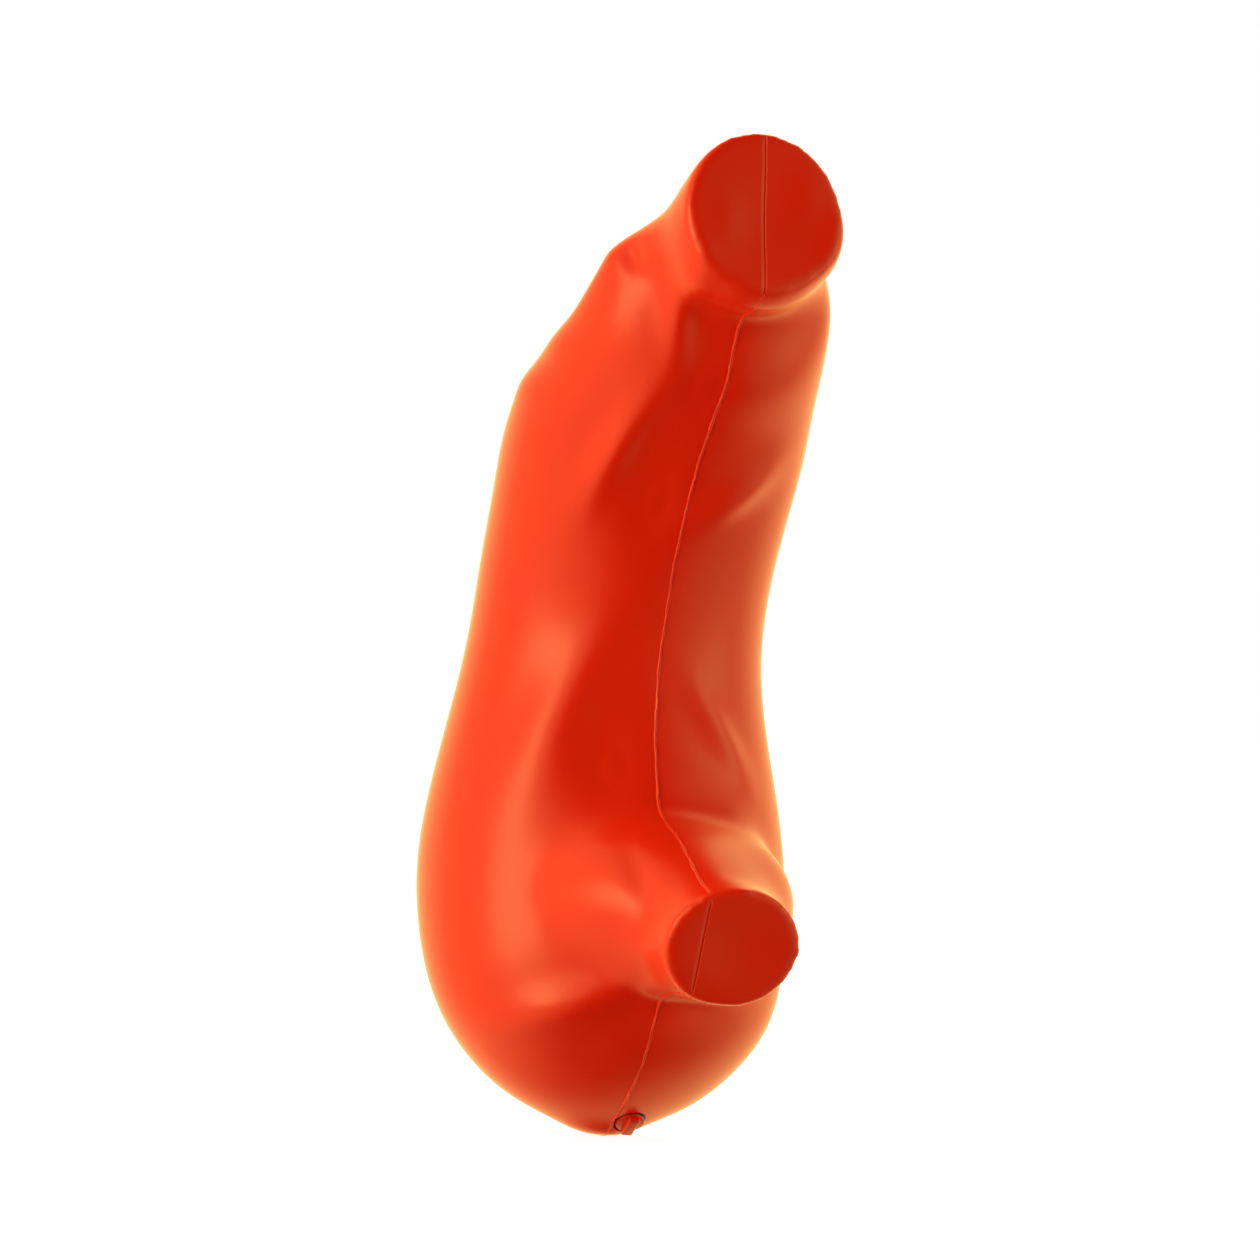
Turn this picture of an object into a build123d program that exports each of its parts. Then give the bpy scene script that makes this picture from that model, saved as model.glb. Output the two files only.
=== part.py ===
"""Grappling dummy body: hollow moulded torso with a neck stump and a front stump.

Row frame, millimetres. +Z runs up the body, -Y is the front (both stumps point
that way), X is across. The two moulded halves meet on the plane X = 0. The
origin is the middle of the underside of the whole object's bounding box.
"""
from build123d import *
from collections import namedtuple
import math
import os

# ---- driving dimensions ---------------------------------------------------
WALL = 5.0                 # moulded skin thickness
BEAD_HALF_WIDTH = 1.3      # half width of the raised line along the joint
BEAD_HEIGHT = 1.0          # how far that line stands off the skin
STRIP_HALF_WIDTH = 15.0    # inner bonding strip over the joint
STRIP_THICKNESS = 2.5
CORE_GAP = 0.5             # gap between the strip and the foam or the bag

NECK_RADIUS = 63.0         # flat round end of the neck stump
STUB_HALF_WIDTH = 55.0     # flat oval end of the front stump
STUB_HALF_HEIGHT = 49.0
STUB_ROOT_X = 6.0          # sideways place of the front stump at its root
STUB_OFFSET_X = 26.0       # the front stump sits to one side of the joint
STUB_DROOP = 17.0          # degrees its end face looks down

BALLAST_TOP = 212.0        # height of the bag that weights the base
CHEST_SPLIT = 420.0        # height where the lower foam block meets the upper one
BAG_THICKNESS = 1.5

# filler plug, on its own axis; distances outward from the seat are positive
PLUG_POINT = (13.5, -101.0, 15.0)
PLUG_TILT = 38.0           # degrees the axis leans forward from straight down
BORE_RADIUS = 8.05
NECK_PLUG_RADIUS = 8.0     # leaves a 0.05 running clearance for the thread
PLUG_LENGTH = 14.0
SEAL_THICKNESS = 1.5
FLANGE_RADIUS = 11.5
FLANGE_THICKNESS = 2.5
GRIP_WIDTH = 9.0
GRIP_LENGTH = 22.0
GRIP_HEIGHT = 4.5
GRIP_CORNER = 3.0
BUSH_RADIUS = 10.5
BUSH_FLANGE_RADIUS = 13.0
BUSH_FLANGE_THICKNESS = 2.0
BUSH_LENGTH = 25.0
BOSS_RADIUS = 20.0
BOSS_DEPTH = 9.0
NUT_ACROSS_FLATS = 28.0
NUT_THICKNESS = 6.0
GASKET_RADIUS = 14.0
GASKET_THICKNESS = 2.0
ROOM_AROUND = 3.0          # free space kept round the boss inside the bag
ROOM_BEYOND = 4.0          # free space kept past the inner end of the bush

# ---- body stations --------------------------------------------------------
# centre (y, z), lean of the section from level in degrees, half width,
# reach to the front and reach to the back
Station = namedtuple("Station", "y z lean half front back")

BODY = [
    Station(-74, 0, 0, 12, 12, 12),
    Station(-70, 8, 0, 36, 28, 32),
    Station(-64, 25, 0, 72, 54, 64),
    Station(-59, 55, 0, 108, 90, 98),
    Station(-54, 95, 0, 134, 120, 122),
    Station(-40, 145, 0, 146, 136, 136),
    Station(-26, 200, 0, 148, 137, 139),
    Station(-20, 255, 0, 142, 124, 133),
    Station(-14, 315, 0, 130, 108, 122),
    Station(-12, 380, 2, 119, 104, 113),
    Station(-21, 440, 5, 117, 104, 110),
    Station(-43, 500, 10, 119, 99, 107),
    Station(-64, 548, 16, 120, 98, 102),
    Station(-97, 592, 24, 113, 92, 78),
    Station(-144, 638, 38, 102, 82, 49),
    Station(-175, 676, 54, 89, 74, 42),
    Station(-212, 698, 66, 68, 60, 46),
    Station(-240, 710, 73, 65, 65, 62),
    Station(-260, 722, 77, NECK_RADIUS, NECK_RADIUS, NECK_RADIUS),
]

STUB = [
    Station(-95, 180, 0, 112, 84, 84),
    Station(-145, 178, 0, 103, 76, 76),
    Station(-180, 175, 0, 86, 66, 66),
    Station(-205, 172, 0, 69, 58, 58),
    Station(-230, 168, 0, 58, 51, 51),
    Station(-262, 163, 0, STUB_HALF_WIDTH, STUB_HALF_HEIGHT, STUB_HALF_HEIGHT),
]

HALF_POINTS = 6            # points round half of a torso outline
CLIPPED_POINTS = 8         # points round each part of a stump outline
SPAN = 2000.0              # larger than the object in every direction
JOINING_TOLERANCE = 0.02   # slack allowed where the two sides' edges meet on X = 0
OVERSHOOT = 1.0            # how far a cutter runs past the face it cuts
OUTSIDE = 60.0             # distance along the plug axis that is clear of the skin
END_BLOCK = 300.0          # width of the blocks that clear the two flat ends
END_BLOCK_DEPTH = 100.0
END_BLOCK_OVERLAP = 1.0    # how far those blocks reach back over the rim


def clipped_wire(plane, half, front, back, side):
    """The part of an oval outline on one side of X = 0, closed by a straight edge there."""
    meet = math.acos(-plane.origin.X / half)
    start, end = (-meet, meet) if side > 0 else (meet, 2 * math.pi - meet)
    points = []
    for i in range(CLIPPED_POINTS + 1):
        angle = start + (end - start) * i / CLIPPED_POINTS
        reach = back if math.sin(angle) > 0 else front
        points.append(plane.from_local_coords((half * math.cos(angle), reach * math.sin(angle), 0)))
    return Wire([Edge.make_spline(points), Edge.make_line(points[-1], points[0])])


def half_section_wire(plane, half, front, back, side):
    """Half of a centred outline, front toward local -Y, closed by a straight edge on X = 0."""
    points = []
    for i in range(HALF_POINTS + 1):
        angle = math.pi * (i / HALF_POINTS - 0.5)
        reach = back if math.sin(angle) > 0 else front
        across = side * half * math.cos(angle)
        points.append(plane.from_local_coords((across, reach * math.sin(angle), 0)))
    curve = Edge.make_spline(points, tangents=[Vector(side, 0, 0), Vector(-side, 0, 0)])
    return Wire([curve, Edge.make_line(points[-1], points[0])])


def swell(radii_before, radii_after, gap):
    """Change of radius along the spine, as the sine and cosine of its slope."""
    slope = (radii_after - radii_before) / gap
    length = math.hypot(1, slope)
    return slope / length, 1 / length


def lofted(stations, tangent_of, make_wire, grow, side):
    """One side of a loft through the stations, with the skin moved outward by grow."""
    wires = []
    last = len(stations) - 1
    for i, s in enumerate(stations):
        before = stations[max(i - 1, 0)]
        after = stations[min(i + 1, last)]
        gap = math.dist((before.y, before.z), (after.y, after.z))
        sine, cosine = swell(before.half, after.half, gap)
        along = -grow * sine
        if i == 0:
            along = -grow
        if i == last:
            along = min(grow, 0)
        tangent = tangent_of(s)
        origin = Vector(offset_x(s, stations), s.y, s.z) + tangent * along
        plane = Plane(origin=origin, x_dir=(1, 0, 0), z_dir=tangent)
        change = grow * cosine
        wires.append(make_wire(plane, s.half + change, s.front + change, s.back + change, side))
    return Solid.make_loft(wires)


def offset_x(station, stations):
    """Sideways shift of the front stump, growing from its root to its end."""
    if stations is not STUB:
        return 0.0
    along = (station.y - STUB[0].y) / (STUB[-1].y - STUB[0].y)
    return STUB_ROOT_X + (STUB_OFFSET_X - STUB_ROOT_X) * along


def body_tangent(station):
    lean = math.radians(station.lean)
    return Vector(0, -math.sin(lean), math.cos(lean))


def stub_tangent(station):
    droop = math.radians(STUB_DROOP)
    return Vector(0, -math.cos(droop), -math.sin(droop))


def torso_half(grow, side):
    return lofted(BODY, body_tangent, half_section_wire, grow, side)


def stub_half(grow, side):
    return lofted(STUB, stub_tangent, clipped_wire, grow, side)


def torso(grow):
    return torso_half(grow, -1).fuse(torso_half(grow, 1))


def stub(grow):
    return stub_half(grow, -1).fuse(stub_half(grow, 1))


def outline_half(grow, side):
    """One side of the whole closed shape, torso and front stump together."""
    return torso_half(grow, side).fuse(stub_half(grow, side))


def slab(half_width):
    return Box(2 * half_width, SPAN, SPAN)


def side_box(side):
    return Pos(side * SPAN / 2, 0, 0) * Box(SPAN, SPAN, SPAN)


def below(height):
    return Pos(0, 0, height - SPAN / 2) * Box(SPAN, SPAN, SPAN)


def above(height):
    return Pos(0, 0, height + SPAN / 2) * Box(SPAN, SPAN, SPAN)


def plug_frame():
    """Plane on the plug seat, local +Z pointing out of the object."""
    tilt = math.radians(PLUG_TILT)
    outward = (0, -math.sin(tilt), -math.cos(tilt))
    return Plane(origin=PLUG_POINT, x_dir=(1, 0, 0), z_dir=outward)


def disc(radius, start, end):
    """Round bar on the plug axis between two distances from the seat."""
    return plug_frame() * (Pos(0, 0, (start + end) / 2) * Cylinder(radius, end - start))


def layer(inside, outside, side):
    """One side of the layer between two skin positions."""
    return outline_half(outside, side) - outline_half(inside, side)


def make_shells():
    boss = disc(BOSS_RADIUS, -BOSS_DEPTH, 0) & side_box(1)
    boss = boss & outline_half(0, 1)
    recess = disc(BUSH_FLANGE_RADIUS, -BUSH_FLANGE_THICKNESS, OUTSIDE)
    bore = disc(BUSH_RADIUS, -BOSS_DEPTH - OVERSHOOT, 0)
    right = layer(-WALL, 0, 1) + boss
    return layer(-WALL, 0, -1), largest(right - recess - bore)


def make_fittings():
    bush = disc(BUSH_RADIUS, -BUSH_LENGTH, -BUSH_FLANGE_THICKNESS)
    bush += disc(BUSH_FLANGE_RADIUS, -BUSH_FLANGE_THICKNESS, 0)
    bush -= disc(BORE_RADIUS, -BUSH_LENGTH - OVERSHOOT, OVERSHOOT)
    gasket_end = -BOSS_DEPTH - GASKET_THICKNESS
    gasket = disc(GASKET_RADIUS, gasket_end, -BOSS_DEPTH)
    gasket -= disc(BUSH_RADIUS, gasket_end - OVERSHOOT, 0)
    hexagon = RegularPolygon(NUT_ACROSS_FLATS / 2, 6, major_radius=False)
    nut = plug_frame() * (Pos(0, 0, gasket_end - NUT_THICKNESS) * extrude(hexagon, NUT_THICKNESS))
    nut -= disc(BUSH_RADIUS, -BUSH_LENGTH, 0)
    return bush, gasket, nut


def make_plug():
    top = SEAL_THICKNESS + FLANGE_THICKNESS
    plug = disc(NECK_PLUG_RADIUS, -PLUG_LENGTH, SEAL_THICKNESS)
    plug += disc(FLANGE_RADIUS, SEAL_THICKNESS, top)
    grip = Box(GRIP_WIDTH, GRIP_LENGTH, GRIP_HEIGHT)
    grip = fillet(grip.edges().filter_by(Axis.Z), GRIP_CORNER)
    plug += plug_frame() * (Pos(0, 0, top + GRIP_HEIGHT / 2) * grip)
    seal = disc(FLANGE_RADIUS, 0, SEAL_THICKNESS)
    seal -= disc(NECK_PLUG_RADIUS, -OVERSHOOT, SEAL_THICKNESS + OVERSHOOT)
    return plug, seal


def end_plane(station, tangent_of):
    """Plane of a flat end, local +Z pointing out of the object."""
    return Plane(origin=(0, station.y, station.z), x_dir=(1, 0, 0), z_dir=tangent_of(station))


def make_bead(room):
    """Raised line of squeezed-out material on the joint, off the flat ends.

    It comes in two lengths: over the back from the neck end round to the
    underside of the front stump, and down the chest between the two stumps.
    """
    raised = both_sides(0, BEAD_HEIGHT, BEAD_HALF_WIDTH)
    clear = Pos(0, 0, END_BLOCK_DEPTH / 2 - END_BLOCK_OVERLAP) * Box(END_BLOCK, END_BLOCK, END_BLOCK_DEPTH)
    raised -= end_plane(BODY[-1], body_tangent) * clear
    raised -= end_plane(STUB[-1], stub_tangent) * clear
    lengths = sorted((raised - room).solids(), key=lambda solid: solid.volume)
    return lengths[-1], lengths[-2]


def both_sides(inside, outside, half_width):
    """The layer between two skin positions, within half_width of the joint."""
    left = layer(inside, outside, -1) & slab(half_width)
    right = layer(inside, outside, 1) & slab(half_width)
    return left.fuse(right, tol=JOINING_TOLERANCE)


def make_strip(room):
    return both_sides(-WALL - STRIP_THICKNESS, -WALL, STRIP_HALF_WIDTH) - room


def make_cores(room):
    """Foam blocks and the weighted bag that fill the skin."""
    depth = -WALL - STRIP_THICKNESS - CORE_GAP
    fill = torso(depth)
    bag = (fill & below(BALLAST_TOP)) - room
    grains = (torso(depth - BAG_THICKNESS) & below(BALLAST_TOP - BAG_THICKNESS)) - grown_room()
    lower = fill & above(BALLAST_TOP) & below(CHEST_SPLIT)
    upper = fill & above(CHEST_SPLIT)
    front = stub(depth) - fill
    return bag - grains, grains, lower, upper, front


def plug_room():
    """Space round the boss and the bush that the strip and the bag leave free."""
    return disc(BOSS_RADIUS + ROOM_AROUND, -BUSH_LENGTH - ROOM_BEYOND, OUTSIDE)


def grown_room():
    """The same space with the thickness of the bag added."""
    depth = BUSH_LENGTH + ROOM_BEYOND + BAG_THICKNESS
    return disc(BOSS_RADIUS + ROOM_AROUND + BAG_THICKNESS, -depth, OUTSIDE)


def largest(shape):
    """The main body of a cut, without slivers."""
    return max(shape.solids(), key=lambda solid: solid.volume)


def build():
    left, right = make_shells()
    bush, gasket, nut = make_fittings()
    plug, seal = make_plug()
    room = plug_room()
    bag, grains, lower, upper, front = make_cores(room)
    bead_back, bead_front = make_bead(disc(BUSH_FLANGE_RADIUS, -OUTSIDE, OUTSIDE))
    return {
        "shell_left": left,
        "shell_right": right,
        "joint_bead_front": bead_front,
        "joint_bead_back": bead_back,
        "joint_strip": make_strip(room),
        "foam_core_upper": upper,
        "foam_core_lower": lower,
        "foam_core_stub": front,
        "ballast_bag": bag,
        "ballast_grains": grains,
        "filler_bush": bush,
        "bush_gasket": gasket,
        "bush_locknut": nut,
        "plug_seal": seal,
        "filler_plug": plug,
    }


def write(parts):
    os.makedirs("parts", exist_ok=True)
    whole = Compound(children=[Compound(p.solids()) for p in parts.values()]).bounding_box()
    shift = Vector(0, -whole.center().Y, -whole.min.Z)
    for name, part in parts.items():
        solids = part.solids()
        print(name, len(solids), [round(s.volume / 1000, 2) for s in solids])
        moved = Pos(*shift) * (Compound(solids) if len(solids) > 1 else solids[0])
        moved.label = name
        export_step(moved, f"parts/{name}.step")
    print("shift", shift)


write(build())
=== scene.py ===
"""Looks of the grappling dummy body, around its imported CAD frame. Metres, +Z up, front toward -Y."""
import math

import bmesh
import bpy
import numpy as np
from mathutils import Matrix, Vector
from mathutils.kdtree import KDTree


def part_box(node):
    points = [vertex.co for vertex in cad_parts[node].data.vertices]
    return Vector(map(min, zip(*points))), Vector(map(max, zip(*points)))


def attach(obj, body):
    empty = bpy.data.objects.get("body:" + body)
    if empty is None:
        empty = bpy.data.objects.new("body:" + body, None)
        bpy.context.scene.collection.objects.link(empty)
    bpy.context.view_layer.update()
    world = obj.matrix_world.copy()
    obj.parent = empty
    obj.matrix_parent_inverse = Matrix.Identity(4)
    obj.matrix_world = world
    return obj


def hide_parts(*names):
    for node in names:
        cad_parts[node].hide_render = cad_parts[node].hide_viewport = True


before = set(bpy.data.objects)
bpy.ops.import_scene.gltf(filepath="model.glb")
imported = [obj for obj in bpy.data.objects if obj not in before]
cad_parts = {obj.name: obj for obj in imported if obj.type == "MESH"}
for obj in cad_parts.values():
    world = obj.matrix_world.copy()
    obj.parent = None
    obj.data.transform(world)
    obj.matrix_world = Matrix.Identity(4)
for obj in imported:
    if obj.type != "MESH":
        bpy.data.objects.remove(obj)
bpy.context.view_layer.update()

MM = 0.001

# ---- where the CAD puts things --------------------------------------------
SKIN_LOW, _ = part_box("shell_right")
SHIFT_Y = 80.5                # CAD drawing to row frame, millimetres
SHIFT_Z = SKIN_LOW.z / MM
WALL = 5.0

# ---- mesh settings --------------------------------------------------------
OUTER_VOXEL = 0.0026          # metres; fine enough for the joint and the rims
INNER_VOXEL = 0.007
ROOT_BLEND_ROUNDS = 170       # smoothing where the front stump leaves the torso
RIM_BLEND_ROUNDS = 14         # smoothing of the rims of the two flat ends
DEEPEST_HOLLOW = 3.2          # millimetres; keeps the surface clear of what is inside
SEAM_STEP = 0.002             # metres between points along the joint
SEAM_REACH = 0.0012           # how near a cut point lies to the outer edge of the joint
RIM_DEPTH = 0.0045            # how far in from a flat end still counts as on it
LEFT_DEPTH = 0.1              # how far each half's edge turns in, millimetres
RIGHT_DEPTH = 0.9
END_DEPTH = 0.9               # added on the flat ends
BEAD_WIDTH = 1.25             # half width and height of the raised line, millimetres
BEAD_TALL = 1.1
BEAD_SEED = 11
BEAD_DRIFT = 0.5              # sideways wander of the line, millimetres
BEAD_DODGE = 1.5              # how far it moves aside where it passes the plug
BEAD_DODGE_LENGTH = 0.017     # metres of line over which it does so
# section of the raised line: share of the width, share of the height
BEAD_SECTION = ((-1, -0.6), (-0.62, 0.62), (0, 1), (0.62, 0.62), (1, -0.6))

# ---- light settings -------------------------------------------------------
LEFT_GLOW = 1.2
RIGHT_GLOW = 0.9
BACK_GLOW = 1.7
DARK_GLOW = 0.04
FLOOR_HALF = 30.0
FLOOR_GLOW = 1.25             # brightness that the floor shows to the camera
FLOOR_GLOW_SHARE = 0.72       # share of it that hides shadows

# Torso stations in the drawing's millimetres: centre y and z, lean in degrees,
# half width, reach to the front and reach to the back.
TORSO = np.array([
    (-74, 0, 0, 12, 12, 12),
    (-70, 8, 0, 36, 28, 32),
    (-64, 25, 0, 72, 54, 64),
    (-59, 55, 0, 108, 90, 98),
    (-54, 95, 0, 134, 120, 122),
    (-40, 145, 0, 146, 136, 136),
    (-26, 200, 0, 148, 137, 139),
    (-20, 255, 0, 142, 124, 133),
    (-14, 315, 0, 130, 108, 122),
    (-12, 380, 2, 119, 104, 113),
    (-21, 440, 5, 117, 104, 110),
    (-43, 500, 10, 119, 99, 107),
    (-64, 548, 16, 120, 98, 102),
    (-97, 592, 24, 113, 92, 78),
    (-144, 638, 38, 102, 82, 49),
    (-175, 676, 54, 89, 74, 42),
    (-212, 698, 66, 68, 60, 46),
    (-240, 710, 73, 65, 65, 62),
    (-260, 722, 77, 63, 63, 63),
], float)


# Front stump stations: centre y and z, half width and half height.
STUMP = np.array([
    (-95, 180, 112, 84),
    (-145, 178, 103, 76),
    (-180, 175, 86, 66),
    (-205, 172, 69, 58),
    (-230, 168, 58, 51),
    (-262, 163, 55, 49),
], float)
STUMP_ROOT_X = 6.0            # the stump drifts sideways from its root to its end
STUMP_END_X = 26.0
STUMP_DROOP = math.radians(17)
TORSO_END = np.array([0, TORSO[-1, 0], TORSO[-1, 1]])
STUMP_END = np.array([STUMP_END_X, STUMP[-1, 0], STUMP[-1, 1]])


# ---- curves and grids -----------------------------------------------------
def cubic(knots, values, at):
    """Natural cubic spline through the values (one column each), read at the given places."""
    n = len(knots)
    gap = np.diff(knots)
    rows = np.zeros((n, n))
    right = np.zeros((n, values.shape[1]))
    rows[0, 0] = rows[-1, -1] = 1.0
    slope = np.diff(values, axis=0) / gap[:, None]
    for i in range(1, n - 1):
        rows[i, i - 1] = gap[i - 1]
        rows[i, i] = 2 * (gap[i - 1] + gap[i])
        rows[i, i + 1] = gap[i]
        right[i] = 6 * (slope[i] - slope[i - 1])
    bend = np.linalg.solve(rows, right)
    i = np.clip(np.searchsorted(knots, at) - 1, 0, n - 2)
    h = gap[i][:, None]
    a = (knots[i + 1] - at)[:, None] / h
    b = 1 - a
    curve = a * values[i] + b * values[i + 1]
    return curve + ((a ** 3 - a) * bend[i] + (b ** 3 - b) * bend[i + 1]) * h * h / 6


def torso_rings(shrink, rings=220, around=168):
    """Rings of points up the torso, from the pole of the base to the neck's flat end."""
    pole = TORSO[0].copy()
    pole[1] = -0.6
    pole[3:] = 0.0
    stations = np.vstack([pole, TORSO])
    profile = stations[:, [0, 1, 3]]
    knots = np.concatenate([[0], np.cumsum(np.linalg.norm(np.diff(profile, axis=0), axis=1))])
    at = np.linspace(knots[0], knots[-1], rings)[1:]
    y, z, lean, half, front, back = cubic(knots, stations, at).T
    lean = np.radians(lean)
    turn = np.linspace(0, 2 * math.pi, around, endpoint=False)
    reach = np.where(np.sin(turn)[None, :] > 0, back[:, None], front[:, None])
    reach = np.maximum(reach - shrink, 1.0) * np.sin(turn)
    x = np.maximum(half[:, None] - shrink, 1.0) * np.cos(turn)
    points = np.stack([x, y[:, None] + reach * np.cos(lean)[:, None],
                       z[:, None] + reach * np.sin(lean)[:, None]], axis=-1)
    top = np.array([0, y[-1], z[-1]])
    if shrink:
        points[:, :, 2] = np.maximum(points[:, :, 2], shrink)
        points[-1] += shrink * np.array([0, math.sin(lean[-1]), -math.cos(lean[-1])])
        top += shrink * np.array([0, math.sin(lean[-1]), -math.cos(lean[-1])])
    return points, np.array([0, stations[0][0], max(-0.6, shrink)]), top


def stump_rings(shrink, rings=70, around=132):
    """Rings of points out along the front stump."""
    knots = np.concatenate([[0], np.cumsum(np.linalg.norm(np.diff(STUMP[:, :2], axis=0), axis=1))])
    at = np.linspace(knots[0], knots[-1], rings)
    y, z, half, tall = cubic(knots, STUMP, at).T
    turn = np.linspace(0, 2 * math.pi, around, endpoint=False)
    centre = np.interp(y, [STUMP[-1, 0], STUMP[0, 0]], [STUMP_END_X, STUMP_ROOT_X])
    x = centre[:, None] + (half[:, None] - shrink) * np.cos(turn)
    up = (tall[:, None] - shrink) * np.sin(turn)
    points = np.stack([x, y[:, None] - up * math.sin(STUMP_DROOP),
                       z[:, None] + up * math.cos(STUMP_DROOP)], axis=-1)
    back = shrink * np.array([0, math.cos(STUMP_DROOP), math.sin(STUMP_DROOP)])
    points[-1] += back
    return (points, np.array([STUMP_ROOT_X, y[0], z[0]]),
            np.array([STUMP_END_X, y[-1], z[-1]]) + back)


def lathe_mesh(rings, start, end):
    """Closed mesh data from rings of points with a pole at each end."""
    count, around = rings.shape[:2]
    points = np.vstack([rings.reshape(-1, 3), start[None], end[None]])
    faces = []
    for i in range(count - 1):
        for j in range(around):
            k = (j + 1) % around
            faces.append((i * around + j, i * around + k, (i + 1) * around + k, (i + 1) * around + j))
    for j in range(around):
        k = (j + 1) % around
        faces.append((k, j, count * around))
        faces.append(((count - 1) * around + j, (count - 1) * around + k, count * around + 1))
    return points, faces


def to_row(points):
    """Drawing millimetres to row-frame metres."""
    return (points + np.array([0, SHIFT_Y, SHIFT_Z])) * MM


def new_object(name, points, faces):
    mesh = bpy.data.meshes.new(name)
    mesh.from_pydata([tuple(p) for p in points], [], faces)
    mesh.validate()
    obj = bpy.data.objects.new(name, mesh)
    bpy.context.scene.collection.objects.link(obj)
    return obj


def face_outward(obj):
    bm = bmesh.new()
    bm.from_mesh(obj.data)
    bmesh.ops.recalc_face_normals(bm, faces=bm.faces[:])
    bm.to_mesh(obj.data)
    bm.free()
    return obj


def apply_modifiers(obj):
    """Replaces the mesh of obj with its modified mesh."""
    graph = bpy.context.evaluated_depsgraph_get()
    mesh = bpy.data.meshes.new_from_object(obj.evaluated_get(graph))
    obj.modifiers.clear()
    obj.data = mesh
    return obj


def fused(name, shrink, voxel):
    """Torso and stump remeshed into one closed surface."""
    points, faces = lathe_mesh(*torso_rings(shrink))
    more, more_faces = lathe_mesh(*stump_rings(shrink))
    faces = faces + [tuple(i + len(points) for i in f) for f in more_faces]
    obj = new_object(name, to_row(np.vstack([points, more])), faces)
    remesh = obj.modifiers.new("fuse", "REMESH")
    remesh.mode = "VOXEL"
    remesh.voxel_size = voxel
    return apply_modifiers(obj)


# ---- numeric mesh work ----------------------------------------------------
def read_points(mesh):
    co = np.empty(len(mesh.vertices) * 3)
    mesh.vertices.foreach_get("co", co)
    return co.reshape(-1, 3)


def write_points(mesh, points):
    mesh.vertices.foreach_set("co", points.ravel())
    mesh.update()


def read_edges(mesh):
    pairs = np.empty(len(mesh.edges) * 2, int)
    mesh.edges.foreach_get("vertices", pairs)
    return pairs.reshape(-1, 2)


def neighbour_mean(points, edges, degree):
    total = np.zeros_like(points)
    for axis in range(3):
        total[:, axis] = (np.bincount(edges[:, 0], points[edges[:, 1], axis], len(points))
                          + np.bincount(edges[:, 1], points[edges[:, 0], axis], len(points)))
    return total / degree[:, None]


def smooth(mesh, rounds, weight=1.0, shrink=False):
    """Taubin smoothing, which keeps the size; plain averaging where shrink is true."""
    points = read_points(mesh)
    edges = read_edges(mesh)
    degree = np.maximum(np.bincount(edges.ravel(), minlength=len(points)), 1)
    weight = np.broadcast_to(np.asarray(weight, float), len(points))[:, None]
    for _ in range(rounds):
        points = points + 0.5 * weight * (neighbour_mean(points, edges, degree) - points)
        if not shrink:
            points = points - 0.52 * weight * (neighbour_mean(points, edges, degree) - points)
    write_points(mesh, points)


def read_normals(mesh):
    normals = np.empty(len(mesh.vertices) * 3)
    mesh.vertices.foreach_get("normal", normals)
    return normals.reshape(-1, 3)


def lump(points, centre, size, lean=0.0):
    """Soft weight of 1 at the centre falling away over size (x, y, z), leaning in the x-z plane."""
    offset = (points - np.array(centre)) / MM
    c, s = math.cos(math.radians(lean)), math.sin(math.radians(lean))
    x = offset[:, 0] * c + offset[:, 2] * s
    z = -offset[:, 0] * s + offset[:, 2] * c
    return np.exp(-((x / size[0]) ** 2 + (offset[:, 1] / size[1]) ** 2 + (z / size[2]) ** 2))


# ---- the skin -------------------------------------------------------------
def stump_root_weight(points):
    """1 where the front stump meets the torso, 0 elsewhere."""
    local = points / MM - np.array([STUMP_ROOT_X + 10, SHIFT_Y, SHIFT_Z])
    near = np.exp(-((local[:, 1] + 145) / 42) ** 2)
    radius = np.hypot(local[:, 0] / 100, (local[:, 2] - 174) / 78)
    return near * np.exp(-((radius - 1) / 0.5) ** 2)


def rim_weight(points):
    """1 on the rims of the two flat ends, 0 elsewhere."""
    neck = np.linalg.norm(points - to_row(TORSO_END), axis=1) / MM
    stump = np.linalg.norm(points - to_row(STUMP_END), axis=1) / MM
    return np.exp(-((neck - 63) / 7) ** 2) + np.exp(-((stump - 52) / 8) ** 2)


def sculpt(mesh):
    """Soft bumps and hollows of the moulded surface."""
    points = read_points(mesh)
    normals = read_normals(mesh)
    push = np.zeros(len(points))
    for amount, centre, size, lean in FEATURES:
        push += amount * lump(points, centre, size, lean)
    push = np.maximum(push, -DEEPEST_HOLLOW)
    write_points(mesh, points + normals * push[:, None] * MM)


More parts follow.
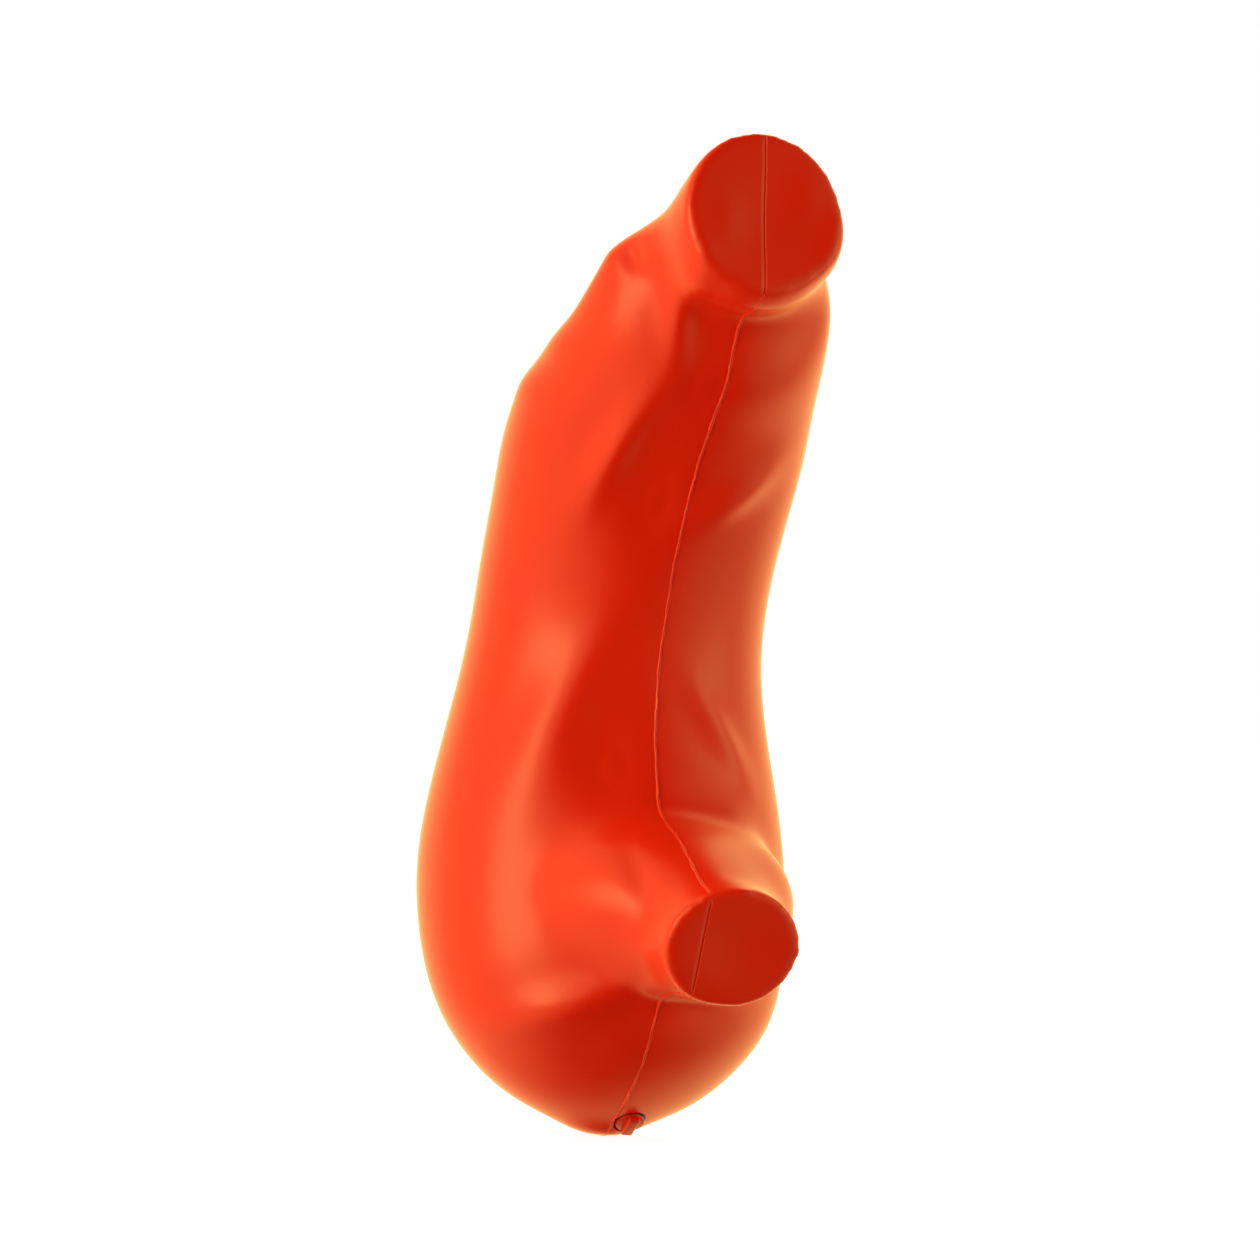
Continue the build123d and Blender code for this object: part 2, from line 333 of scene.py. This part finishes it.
# amount in millimetres, centre in metres, size in millimetres, lean in degrees
FEATURES = [
    (-4, (-0.016, -0.128, 0.593), (22, 70, 44), 0),        # hollow under the neck
    (8, (-0.047, -0.155, 0.645), (11, 60, 36), 6),         # cord down the left of the neck
    (10, (-0.064, -0.074, 0.535), (14, 60, 48), -14),       # left ridge of the chest
    (7, (0.042, -0.065, 0.512), (16, 60, 38), -47),        # right ridge of the chest
    (-4, (-0.026, -0.053, 0.500), (20, 60, 40), 0),        # hollow between them
    (8, (-0.074, -0.026, 0.330), (22, 60, 66), -22),       # belly, left of the front stump
    (-4, (-0.036, -0.040, 0.292), (24, 60, 40), 0),
    (5, (0.058, -0.030, 0.322), (13, 60, 42), 37),         # belly, right of the front stump
    (8, (0.088, -0.060, 0.222), (20, 60, 46), 31),
    (-4, (0.004, -0.115, 0.128), (38, 50, 9), -24),        # creases round the stump's root
    (-4, (-0.030, -0.120, 0.178), (9, 40, 46), 10),
    (8, (-0.062, -0.078, 0.108), (60, 60, 17), 25),        # band across the rounded base
    (-1.5, (-0.044, -0.074, 0.070), (24, 50, 20), 0),
    (4, (-0.090, -0.095, 0.690), (15, 22, 18), 0),         # lumps of the left shoulder
    (-5, (-0.078, -0.108, 0.682), (7, 16, 16), 20),
    (3, (-0.108, -0.043, 0.613), (22, 34, 16), 0),
    (3, (-0.115, 0.010, 0.582), (22, 34, 16), 0),
    (2, (0.084, -0.109, 0.650), (16, 30, 24), 0),          # right shoulder
    (-2.5, (0.0, -0.180, 0.718), (34, 30, 30), 0),         # uneven flat end of the neck
    (1.5, (-0.030, -0.183, 0.712), (14, 30, 18), 0),
    (1.5, (0.036, -0.176, 0.738), (14, 30, 18), 0),
    (5, (0.066, -0.165, 0.695), (16, 40, 30), 0),
    (-2, (0.030, -0.183, 0.163), (30, 30, 28), 0),         # uneven flat end of the front stump
]


def outer_skin():
    obj = fused("skin_outer", 0.0, OUTER_VOXEL)
    smooth(obj.data, 14)
    smooth(obj.data, ROOT_BLEND_ROUNDS, stump_root_weight(read_points(obj.data)), shrink=True)
    rims = np.minimum(rim_weight(read_points(obj.data)), 1)
    smooth(obj.data, RIM_BLEND_ROUNDS, rims, shrink=True)
    sculpt(obj.data)
    smooth(obj.data, 6)
    return obj


def inner_skin():
    obj = fused("skin_inner", WALL, INNER_VOXEL)
    smooth(obj.data, 4)
    return obj


def cut_half(mesh, side):
    """Keeps one side of the joint plane and closes the cut."""
    bm = bmesh.new()
    bm.from_mesh(mesh)
    geometry = bm.verts[:] + bm.edges[:] + bm.faces[:]
    cut = bmesh.ops.bisect_plane(bm, geom=geometry, dist=1e-6, plane_co=(0, 0, 0), plane_no=(side, 0, 0),
                                 clear_inner=True)
    edges = [e for e in cut["geom_cut"] if isinstance(e, bmesh.types.BMEdge)]
    bmesh.ops.triangle_fill(bm, edges=edges, use_beauty=True)
    bmesh.ops.recalc_face_normals(bm, faces=bm.faces[:])
    return bm


def joined(outer, inner):
    """One mesh holding the outer surface and the inner one turned inside out."""
    bm = bmesh.new()
    bm.from_mesh(inner.data)
    bmesh.ops.reverse_faces(bm, faces=bm.faces[:])
    bm.from_mesh(outer.data)
    mesh = bpy.data.meshes.new("skin_both")
    bm.to_mesh(mesh)
    bm.free()
    return mesh


def shade_smooth(obj, angle=35):
    obj.data.polygons.foreach_set("use_smooth", [True] * len(obj.data.polygons))
    obj.data.set_sharp_from_angle(angle=math.radians(angle))
    return obj


# ---- the joint line -------------------------------------------------------
def seam_loop(obj):
    """Where the outer surface crosses the joint plane: even points and outward directions."""
    bm = bmesh.new()
    bm.from_mesh(obj.data)
    geometry = bm.verts[:] + bm.edges[:] + bm.faces[:]
    cut = bmesh.ops.bisect_plane(bm, geom=geometry, dist=1e-6, plane_co=(0, 0, 0), plane_no=(1, 0, 0))
    links = {}
    for edge in cut["geom_cut"]:
        if isinstance(edge, bmesh.types.BMEdge):
            for one, other in (edge.verts, reversed(edge.verts)):
                links.setdefault(one, []).append(other)
    start = max(links, key=lambda v: v.co.z)
    before, here = None, start
    loop = []
    while here is not start or not loop:
        loop.append(here.co[:])
        ahead = [v for v in links[here] if v is not before]
        before, here = here, ahead[0]
    bm.free()
    loop = np.array(loop + [loop[0]])
    along = np.concatenate([[0], np.cumsum(np.linalg.norm(np.diff(loop, axis=0), axis=1))])
    count = int(along[-1] / SEAM_STEP)
    at = np.linspace(0, along[-1], count, endpoint=False)
    points = np.stack([np.interp(at, along, loop[:, k]) for k in range(3)], axis=1)
    points[:, 0] = 0.0
    points = running_mean(points, 3)
    tangent = running_mean(np.roll(points, -1, axis=0) - np.roll(points, 1, axis=0), 3)
    tangent /= np.linalg.norm(tangent, axis=1)[:, None]
    outward = np.stack([np.zeros(count), tangent[:, 2], -tangent[:, 1]], axis=1)
    if ((points - points.mean(axis=0)) * outward).sum() < 0:
        outward = -outward
    return points, outward


def running_mean(values, reach):
    """Mean over neighbours round a closed loop."""
    total = sum(np.roll(values, k, axis=0) for k in range(-reach, reach + 1))
    return total / (2 * reach + 1)


def on_flat_end(points):
    """Which points lie on the flat end of the neck or of the front stump."""
    neck_out = np.array([0, -math.sin(math.radians(TORSO[-1, 2])), math.cos(math.radians(TORSO[-1, 2]))])
    stump_out = np.array([0, -math.cos(STUMP_DROOP), -math.sin(STUMP_DROOP)])
    found = np.zeros(len(points), bool)
    for end, out in ((TORSO_END, neck_out), (STUMP_END, stump_out)):
        found |= (points - to_row(end)) @ out > -RIM_DEPTH
    return found


def bead_mesh(name, points, outward, chance):
    """Closed ridge along the joint, a little uneven in width, height and line."""
    count = len(points)
    wide, tall, drift = (running_mean(chance.normal(0, 1, count), 2) for _ in range(3))
    near_plug = np.exp(-(np.linalg.norm(points - SEAT, axis=1) / BEAD_DODGE_LENGTH) ** 2)
    rings = []
    for across, up in BEAD_SECTION:
        x = across * BEAD_WIDTH * (1 + 0.35 * wide) + BEAD_DRIFT * drift - BEAD_DODGE * near_plug
        lift = up * BEAD_TALL * (1 + 0.5 * tall)
        ring = points + outward * lift[:, None] * MM
        ring[:, 0] += x * MM
        rings.append(ring)
    grid = np.stack(rings, axis=1)
    sides = len(BEAD_SECTION)
    faces = [tuple(range(sides)), tuple(range(count * sides - 1, (count - 1) * sides - 1, -1))]
    for i in range(count - 1):
        for j in range(sides):
            k = (j + 1) % sides
            faces.append((i * sides + j, (i + 1) * sides + j, (i + 1) * sides + k, i * sides + k))
    return shade_smooth(face_outward(new_object(name, grid.reshape(-1, 3), faces)), 70)


def bead_pieces(points, outward):
    """The raised line in two lengths: the long one over the back, the short one down the chest."""
    off_ends = ~on_flat_end(points)
    first = int(np.argmax(~off_ends))
    order = np.roll(np.arange(len(points)), -first)
    runs, run = [], []
    for i in order:
        if off_ends[i]:
            run.append(i)
        elif run:
            runs.append(run)
            run = []
    if run:
        runs.append(run)
    runs.sort(key=len)
    chance = np.random.default_rng(BEAD_SEED)
    return {name: bead_mesh(name, points[keep], outward[keep], chance)
            for name, keep in (("bead_back", runs[-1]), ("bead_front", runs[-2]))}


def groove(obj, side, points, outward):
    """Turns the outer edge of the joint in, deeper on one half and on the flat ends."""
    tree = KDTree(len(points))
    for i, p in enumerate(points):
        tree.insert(p, i)
    tree.balance()
    on_end = on_flat_end(points)
    own = LEFT_DEPTH if side < 0 else RIGHT_DEPTH
    for v in obj.data.vertices:
        if abs(v.co.x) > 1e-5:
            continue
        _, i, gap = tree.find(v.co)
        if gap < SEAM_REACH:
            depth = own + (END_DEPTH if on_end[i] else 0)
            v.co -= Vector(outward[i]) * depth * MM


# ---- the filler hole ------------------------------------------------------
PLUG_TILT = math.radians(38)
SEAT = np.array([0.0135, -0.02055, 0.016])      # middle of the plug's seat on the skin
PLUG_OUT = Vector((0, -math.sin(PLUG_TILT), -math.cos(PLUG_TILT)))
# millimetres, heights outward from the seat
BOSS_RADIUS, BOSS_LOW, BOSS_HIGH = 20, -9, -3.4
BUSH_HOLE, SEAT_HOLE, SEAT_DEPTH = 10.55, 13.05, -2.05
THREAD_PITCH, THREAD_DEPTH, THREAD_LOW, THREAD_HIGH = 3, 0.7, -13.2, -1.2
GRIP_X, GRIP_Y, GRIP_LOW, GRIP_HIGH, GRIP_ROUND = 4.5, 11, 3.6, 8.5, 1.6
# faces of a box whose corners run through z, then y, then x
BOX_FACES = [(0, 1, 3, 2), (4, 6, 7, 5), (0, 4, 5, 1), (2, 3, 7, 6), (0, 2, 6, 4), (1, 5, 7, 3)]


def plug_matrix():
    """Frame on the seat, local +Z pointing out of the object."""
    across = Vector((1, 0, 0))
    rows = (across, PLUG_OUT.cross(across), PLUG_OUT)
    return Matrix.Translation(SEAT) @ Matrix(rows).transposed().to_4x4()


def turned(name, profile, around=64, twist=None):
    """Closed body turned on the plug axis from (radius, height) pairs in millimetres."""
    turn = np.linspace(0, 2 * math.pi, around, endpoint=False)
    radius = np.array([p[0] for p in profile], float)[:, None] * np.ones(around)
    height = np.array([p[1] for p in profile], float)[:, None] * np.ones(around)
    if twist:
        radius = twist(radius, height, turn[None, :])
    rings = np.stack([radius * np.cos(turn), radius * np.sin(turn), height], axis=-1) * MM
    start = np.array([0, 0, profile[0][1]]) * MM
    end = np.array([0, 0, profile[-1][1]]) * MM
    points, faces = lathe_mesh(rings, start, end)
    obj = new_object(name, points, faces)
    obj.data.transform(plug_matrix())
    return face_outward(obj)


def boolean(obj, other, operation):
    change = obj.modifiers.new("cut", "BOOLEAN")
    change.operation = operation
    change.solver = "EXACT"
    change.object = other
    apply_modifiers(obj)
    bpy.data.objects.remove(other)


def filler_hole(skin):
    """Adds the thick boss inside the right half and cuts the seat and the hole for the bush."""
    boss = turned("boss", [(BOSS_RADIUS, BOSS_LOW), (BOSS_RADIUS, BOSS_HIGH)])
    bm = cut_half(boss.data, 1)
    bm.to_mesh(boss.data)
    bm.free()
    boolean(skin, boss, "UNION")
    cutter = turned("cutter", [(BUSH_HOLE, -30), (BUSH_HOLE, SEAT_DEPTH),
                               (SEAT_HOLE, SEAT_DEPTH), (SEAT_HOLE, 30)])
    boolean(skin, cutter, "DIFFERENCE")
    return shade_smooth(skin)


def thread(radius, height, turn):
    """Screw thread below the seal, plain at both ends."""
    wave = 0.5 + 0.5 * np.cos(2 * math.pi * height / THREAD_PITCH + turn)
    inside = (height > THREAD_LOW) & (height < THREAD_HIGH)
    return radius - THREAD_DEPTH * wave * inside


def plug_pieces():
    """The plug's threaded cap and the bar it is turned by."""
    neck = [(6.8, -14), (8, -13)] + [(8, h) for h in np.arange(-12.9, 0, 0.25)] + [(8, 1.5)]
    head = [(11.1, 1.5), (11.5, 1.9), (11.5, 3.2), (11.2, 3.75), (10.6, 4.0)]
    cap = turned("plug_cap", neck + head, twist=thread)
    corners = [(x, y, z) for x in (-GRIP_X, GRIP_X) for y in (-GRIP_Y, GRIP_Y)
               for z in (GRIP_LOW, GRIP_HIGH)]
    grip = new_object("plug_grip", corners, BOX_FACES)
    grip.data.transform(Matrix.Scale(MM, 4))
    bevel = grip.modifiers.new("round", "BEVEL")
    bevel.width = GRIP_ROUND * MM
    bevel.segments = 4
    apply_modifiers(grip)
    grip.data.transform(plug_matrix())
    return [shade_smooth(cap), shade_smooth(grip, 60)]


def skin_halves():
    outer, inner = outer_skin(), inner_skin()
    points, outward = seam_loop(outer)
    both = joined(outer, inner)
    halves = {}
    for name, side in (("skin_left", -1), ("skin_right", 1)):
        bm = cut_half(both, side)
        mesh = bpy.data.meshes.new(name)
        bm.to_mesh(mesh)
        bm.free()
        obj = bpy.data.objects.new(name, mesh)
        bpy.context.scene.collection.objects.link(obj)
        groove(obj, side, points, outward)
        halves[name] = shade_smooth(obj, 50)
    filler_hole(halves["skin_right"])
    for obj in (outer, inner):
        bpy.data.objects.remove(obj)
    return halves, bead_pieces(points, outward)


# ---- materials ------------------------------------------------------------
def clouded(nodes, links, place, grain, low, high, shader):
    """Two-tone noise as the shader's base colour; grain is its scale and detail."""
    noise = nodes.new("ShaderNodeTexNoise")
    noise.inputs["Scale"].default_value, noise.inputs["Detail"].default_value = grain
    ramp = nodes.new("ShaderNodeValToRGB")
    for element, (position, colour) in zip(ramp.color_ramp.elements, (low, high)):
        element.position = position
        element.color = (*colour, 1)
    links.new(place.outputs["Object"], noise.inputs["Vector"])
    links.new(noise.outputs["Fac"], ramp.inputs["Fac"])
    links.new(ramp.outputs["Color"], shader.inputs["Base Color"])
    return noise


def vinyl(name, deep, light, roughness):
    """Glossy moulded vinyl: clouded red body under an orange-tinted gloss, with faint orange peel."""
    mat = bpy.data.materials.new(name)
    mat.use_nodes = True
    nodes, links = mat.node_tree.nodes, mat.node_tree.links
    body = nodes["Principled BSDF"]
    place = nodes.new("ShaderNodeTexCoord")
    clouded(nodes, links, place, (9.0, 4.0), (0.3, deep), (0.7, light), body)
    peel = nodes.new("ShaderNodeTexNoise")
    peel.inputs["Scale"].default_value = 260.0
    peel.inputs["Detail"].default_value = 3.0
    links.new(place.outputs["Object"], peel.inputs["Vector"])
    bump = nodes.new("ShaderNodeBump")
    bump.inputs["Strength"].default_value = 0.06
    bump.inputs["Distance"].default_value = 0.0006
    links.new(peel.outputs["Fac"], bump.inputs["Height"])
    links.new(bump.outputs["Normal"], body.inputs["Normal"])
    body.inputs["Roughness"].default_value = 0.6
    body.inputs["Specular IOR Level"].default_value = 0.0
    gloss = nodes.new("ShaderNodeBsdfGlossy")
    gloss.inputs["Color"].default_value = GLOSS_TINT
    gloss.inputs["Roughness"].default_value = roughness
    links.new(bump.outputs["Normal"], gloss.inputs["Normal"])
    edge = nodes.new("ShaderNodeFresnel")
    edge.inputs["IOR"].default_value = 1.62
    mix = nodes.new("ShaderNodeMixShader")
    links.new(edge.outputs["Fac"], mix.inputs["Fac"])
    links.new(body.outputs["BSDF"], mix.inputs[1])
    links.new(gloss.outputs["BSDF"], mix.inputs[2])
    links.new(mix.outputs["Shader"], nodes["Material Output"].inputs["Surface"])
    return mat


def grainy(name, dark, light, scale, roughness, bump_mm):
    """Plain procedural finish: two-tone noise colour with a matching relief."""
    mat = bpy.data.materials.new(name)
    mat.use_nodes = True
    nodes, links = mat.node_tree.nodes, mat.node_tree.links
    shader = nodes["Principled BSDF"]
    place = nodes.new("ShaderNodeTexCoord")
    noise = clouded(nodes, links, place, (scale, 5.0), (0.35, dark), (0.65, light), shader)
    bump = nodes.new("ShaderNodeBump")
    bump.inputs["Distance"].default_value = bump_mm * MM
    bump.inputs["Strength"].default_value = 0.5
    links.new(noise.outputs["Fac"], bump.inputs["Height"])
    links.new(bump.outputs["Normal"], shader.inputs["Normal"])
    shader.inputs["Roughness"].default_value = roughness
    return mat


def dress(obj, mat):
    obj.data.materials.clear()
    obj.data.materials.append(mat)


GLOSS_TINT = (1.0, 0.66, 0.25, 1)
SKIN = vinyl("skin_vinyl", (0.88, 0.010, 0.0003), (0.95, 0.016, 0.0005), 0.33)
PLUG = vinyl("plug_vinyl", (0.66, 0.006, 0.0006), (0.74, 0.008, 0.0008), 0.38)
FINISHES = {
    "joint_strip": grainy("bonding_tape", (0.55, 0.52, 0.46), (0.75, 0.72, 0.66), 400, 0.9, 0.3),
    "foam_core_upper": grainy("foam", (0.70, 0.63, 0.44), (0.86, 0.80, 0.62), 300, 0.95, 0.8),
    "ballast_bag": grainy("coated_cloth", (0.10, 0.11, 0.12), (0.17, 0.18, 0.19), 600, 0.6, 0.2),
    "ballast_grains": grainy("sand", (0.38, 0.31, 0.22), (0.62, 0.54, 0.41), 900, 0.95, 0.8),
    "filler_bush": grainy("nylon", (0.05, 0.05, 0.055), (0.10, 0.10, 0.11), 120, 0.5, 0.05),
    "plug_seal": grainy("flat_rubber", (0.02, 0.02, 0.02), (0.05, 0.05, 0.05), 200, 0.75, 0.1),
}
FINISHES["foam_core_lower"] = FINISHES["foam_core_stub"] = FINISHES["foam_core_upper"]
FINISHES["bush_locknut"] = FINISHES["filler_bush"]
FINISHES["bush_gasket"] = FINISHES["plug_seal"]


# ---- the object -----------------------------------------------------------
def place(piece, finish, slot, body, node):
    """Dresses a piece, puts it on its body and lets it stand in for a CAD node."""
    dress(piece, finish)
    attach(piece, body)
    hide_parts(node)


halves, beads = skin_halves()
place(halves["skin_left"], SKIN, "skin", "body", "shell_left")
place(halves["skin_right"], SKIN, "skin", "body", "shell_right")
place(beads["bead_back"], SKIN, "skin", "body", "joint_bead_back")
place(beads["bead_front"], SKIN, "skin", "body", "joint_bead_front")
for piece in plug_pieces():
    place(piece, PLUG, "plug", "plug", "filler_plug")
for node, finish in FINISHES.items():
    dress(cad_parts[node], finish)


# ---- the studio -----------------------------------------------------------
VIEW_YAW = math.radians(20)      # camera stands toward -X of straight ahead
VIEW_ROLL = math.radians(5)      # the body leans to the right in the picture
VIEW_DISTANCE = 4.5
FRAME_WIDTH = 1.008              # metres across the picture at the object
AIM = Vector((0.0, 0.0805, 0.397))
AIM_LEFT = 0.0144                # the object sits this far left of centre
MIDDLE = Vector((0, 0, 0.4))     # where the lights point


def camera():
    ahead = Vector((math.sin(VIEW_YAW), math.cos(VIEW_YAW), 0))
    level = Vector((math.cos(VIEW_YAW), -math.sin(VIEW_YAW), 0))
    up = Vector((0, 0, 1))
    across = level * math.cos(VIEW_ROLL) + up * math.sin(VIEW_ROLL)
    above = up * math.cos(VIEW_ROLL) - level * math.sin(VIEW_ROLL)
    data = bpy.data.cameras.new("photo_view")
    data.sensor_width = 36
    data.lens = 36 * VIEW_DISTANCE / FRAME_WIDTH
    cam = bpy.data.objects.new("photo_view", data)
    turn = Matrix((across, above, -ahead)).transposed().to_4x4()
    turn.translation = AIM + across * AIM_LEFT - ahead * VIEW_DISTANCE
    cam.matrix_world = turn
    bpy.context.scene.collection.objects.link(cam)
    bpy.context.scene.camera = cam


def softbox(name, azimuth, height, distance, width, tall, radiance):
    """Rectangular light facing the object, placed by its angle to the right of the camera."""
    turn = math.radians(azimuth) - VIEW_YAW
    place = Vector((math.sin(turn) * distance, -math.cos(turn) * distance, height))
    data = bpy.data.lights.new(name, "AREA")
    data.shape = "RECTANGLE"
    data.size = width
    data.size_y = tall
    data.energy = radiance * math.pi * width * tall
    light = bpy.data.objects.new(name, data)
    light.location = place
    light.rotation_euler = (MIDDLE - place).to_track_quat("-Z", "Y").to_euler()
    bpy.context.scene.collection.objects.link(light)


def surroundings():
    """White to the camera; to the object, dark in front, pale at the left, the right and behind."""
    world = bpy.data.worlds.new("studio")
    world.use_nodes = True
    nodes, links = world.node_tree.nodes, world.node_tree.links
    back = nodes["Background"]
    back.inputs["Color"].default_value = (1, 1, 1, 1)
    place = nodes.new("ShaderNodeTexCoord")
    c, s = math.cos(VIEW_YAW), math.sin(VIEW_YAW)
    total = None
    for direction, low, high, strength in (((-c, s, 0), -0.1, 0.7, LEFT_GLOW),
                                           ((c, -s, 0), 0.5, 0.95, RIGHT_GLOW),
                                           ((s, c, 0), 0.0, 0.6, BACK_GLOW)):
        dot = nodes.new("ShaderNodeVectorMath")
        dot.operation = "DOT_PRODUCT"
        dot.inputs[1].default_value = direction
        ramp = nodes.new("ShaderNodeMapRange")
        ramp.interpolation_type = "SMOOTHSTEP"
        ramp.inputs["From Min"].default_value = low
        ramp.inputs["From Max"].default_value = high
        ramp.inputs["To Min"].default_value = DARK_GLOW
        ramp.inputs["To Max"].default_value = strength
        links.new(place.outputs["Generated"], dot.inputs[0])
        links.new(dot.outputs["Value"], ramp.inputs["Value"])
        if total is None:
            total = ramp.outputs["Result"]
            continue
        higher = nodes.new("ShaderNodeMath")
        higher.operation = "MAXIMUM"
        links.new(total, higher.inputs[0])
        links.new(ramp.outputs["Result"], higher.inputs[1])
        total = higher.outputs["Value"]
    links.new(total, back.inputs["Strength"])
    white = nodes.new("ShaderNodeBackground")
    white.inputs["Color"].default_value = (1, 1, 1, 1)
    rays = nodes.new("ShaderNodeLightPath")
    mix = nodes.new("ShaderNodeMixShader")
    links.new(rays.outputs["Is Camera Ray"], mix.inputs["Fac"])
    links.new(back.outputs["Background"], mix.inputs[1])
    links.new(white.outputs["Background"], mix.inputs[2])
    links.new(mix.outputs["Shader"], nodes["World Output"].inputs["Surface"])
    bpy.context.scene.world = world


def pale_floor():
    """Pale to the camera with a faint shadow; clear to every other ray."""
    side = FLOOR_HALF
    corners = [(-side, -side, 0), (side, -side, 0), (side, side, 0), (-side, side, 0)]
    floor = new_object("floor", corners, [(0, 1, 2, 3)])
    mat = grainy("pale_floor", (0.84, 0.84, 0.84), (0.88, 0.88, 0.88), 2, 0.8, 0.1)
    nodes, links = mat.node_tree.nodes, mat.node_tree.links
    glow = nodes.new("ShaderNodeEmission")
    glow.inputs["Strength"].default_value = FLOOR_GLOW
    rays = nodes.new("ShaderNodeLightPath")
    share = nodes.new("ShaderNodeMath")
    share.operation = "MULTIPLY"
    share.inputs[1].default_value = FLOOR_GLOW_SHARE
    mix = nodes.new("ShaderNodeMixShader")
    links.new(rays.outputs["Is Camera Ray"], share.inputs[0])
    links.new(share.outputs["Value"], mix.inputs["Fac"])
    links.new(nodes["Principled BSDF"].outputs["BSDF"], mix.inputs[1])
    links.new(glow.outputs["Emission"], mix.inputs[2])
    clear = nodes.new("ShaderNodeBsdfTransparent")
    seen = nodes.new("ShaderNodeMixShader")
    links.new(rays.outputs["Is Camera Ray"], seen.inputs["Fac"])
    links.new(clear.outputs["BSDF"], seen.inputs[1])
    links.new(mix.outputs["Shader"], seen.inputs[2])
    links.new(seen.outputs["Shader"], nodes["Material Output"].inputs["Surface"])
    dress(floor, mat)


def studio():
    camera()
    softbox("left_box", -50, 0.85, 2.6, 1.2, 1.4, 3.4)
    softbox("left_wide", -34, 1.0, 2.9, 2.6, 1.5, 0.7)
    softbox("right_box", 82, 0.75, 2.4, 1.1, 1.7, 1.3)
    surroundings()
    pale_floor()
    bpy.context.scene.view_settings.view_transform = "Standard"


studio()
